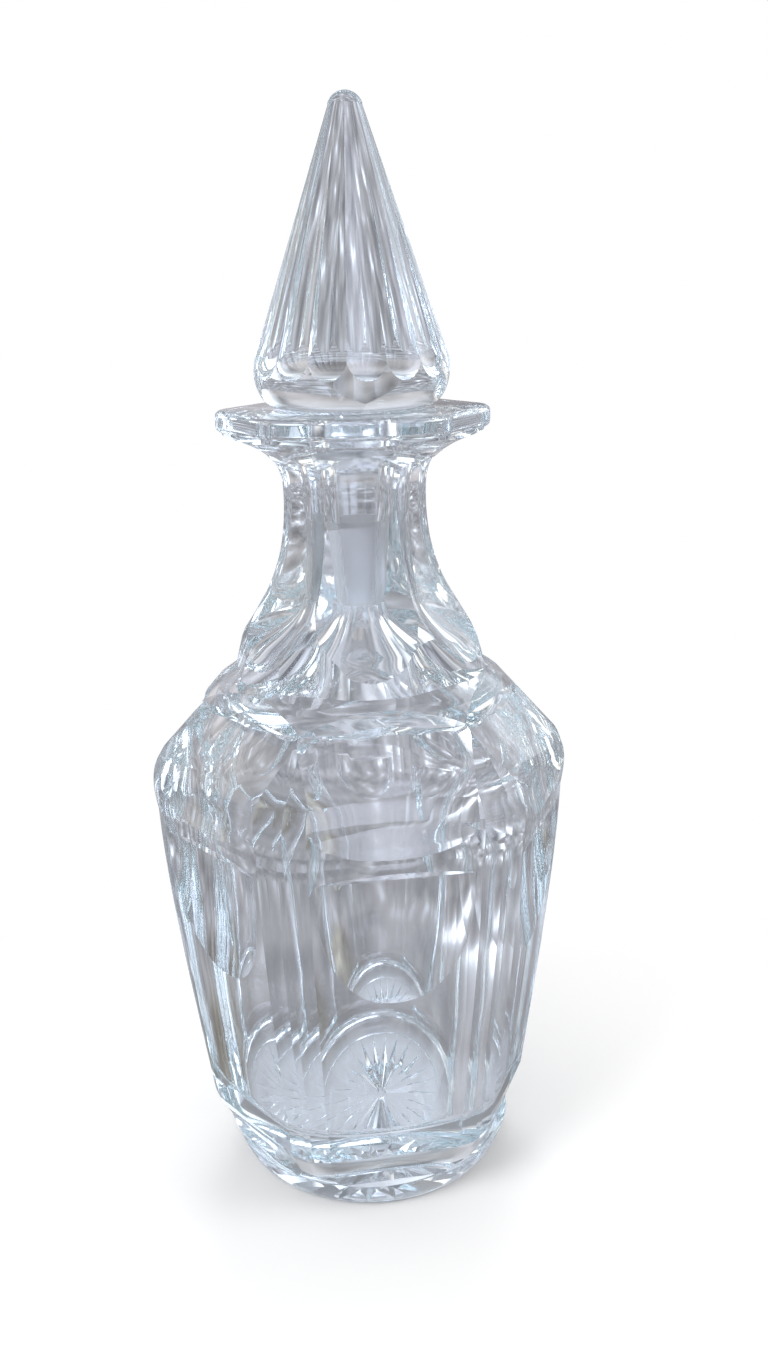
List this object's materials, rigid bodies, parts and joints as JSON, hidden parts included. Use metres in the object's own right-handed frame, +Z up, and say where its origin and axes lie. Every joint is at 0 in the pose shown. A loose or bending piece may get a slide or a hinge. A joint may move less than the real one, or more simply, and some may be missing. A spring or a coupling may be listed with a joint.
{
  "type": "liquor decanter",
  "caption": "Cut glass spirit decanter with flat body panels, half-moon hollows, a fluted neck, a hexagonal lip, a star base and a tall pointed stopper.",
  "frame": {"origin": "middle of the foot, on the surface the decanter stands on", "axes": "+Z up the middle of the neck and stopper; -Y out of the middle of one wide body panel; +X to the right of that panel"},
  "size_m": [0.1192, 0.1084, 0.3],
  "materials": {
    "bottle_glass": "polished clear cut glass",
    "stopper_glass": "polished clear cut glass with a ground plug"
  },
  "bodies": {
    "bottle": {"bottle": "bottle_glass"},
    "stopper": {"stopper": "stopper_glass"}
  },
  "joints": [
    {"name": "stopper_lift", "type": "slide", "parent": "bottle", "child": "stopper", "axis": [0, 0, 1], "range_m": [0, 0.07]}
  ]
}
